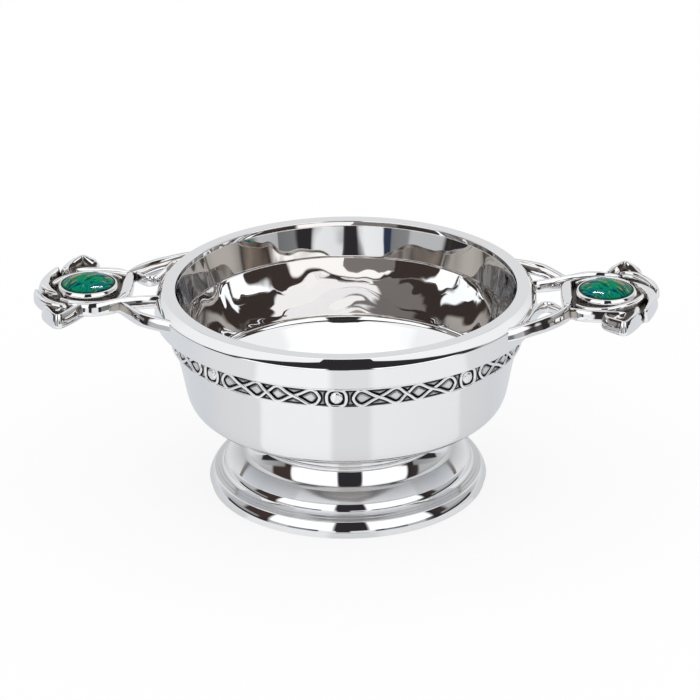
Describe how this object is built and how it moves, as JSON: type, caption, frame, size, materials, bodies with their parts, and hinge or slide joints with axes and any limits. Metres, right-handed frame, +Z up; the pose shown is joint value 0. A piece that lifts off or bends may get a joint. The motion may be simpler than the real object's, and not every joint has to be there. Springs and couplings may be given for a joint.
{
  "type": "quaich",
  "caption": "Shallow lugged drinking cup on a moulded foot, in polished metal, with a band of Celtic interlace round the neck and a round green stone set in each openwork lug.",
  "frame": {"origin": "on the cup's axis at table level, under the foot", "axes": "+Z up, the lugs lie along X, the front is towards -Y"},
  "size_m": [0.182, 0.1114, 0.0643],
  "materials": {
    "pewter": "mirror polished",
    "knotwork": "polished strands on an oxidised ground",
    "lug_metal": "polished, oxidised in the recesses",
    "stone": "gloss"
  },
  "bodies": {
    "root": {"bowl": "pewter", "rim_collar": "pewter", "knot_band": "knotwork", "foot": "pewter", "lug_left": "lug_metal", "lug_right": "lug_metal", "bezel_left": "lug_metal", "bezel_right": "lug_metal", "stone_left": "stone", "stone_right": "stone"}
  },
  "joints": []
}
